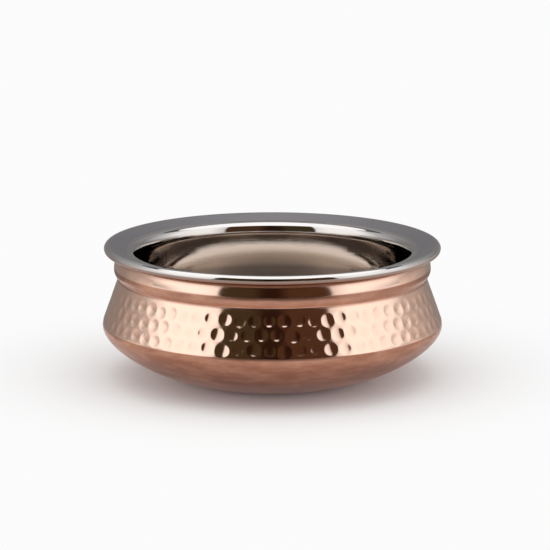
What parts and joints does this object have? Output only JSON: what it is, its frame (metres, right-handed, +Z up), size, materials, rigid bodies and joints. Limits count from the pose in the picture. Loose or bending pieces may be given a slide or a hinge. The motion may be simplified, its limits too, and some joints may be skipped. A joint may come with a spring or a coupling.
{
  "type": "handi serving bowl",
  "caption": "Low, wide-bellied handi bowl for serving food: a steel bowl with a flared, rolled lip hung inside a hammered copper shell with a raised collar under the lip.",
  "frame": {"origin": "middle of the flat base, on the surface that the bowl stands on", "axes": "+Z up along the bowl's axis, out of its mouth; the bowl is round, so +X and +Y are any two square directions, with -Y towards the camera"},
  "size_m": [0.16, 0.16, 0.0635],
  "materials": {
    "copper": "polished copper, hammered on the wall, browner towards the base",
    "steel": "polished inside, satin on the lip"
  },
  "bodies": {
    "root": {"outer_shell": "copper", "inner_bowl": "steel"}
  },
  "joints": []
}
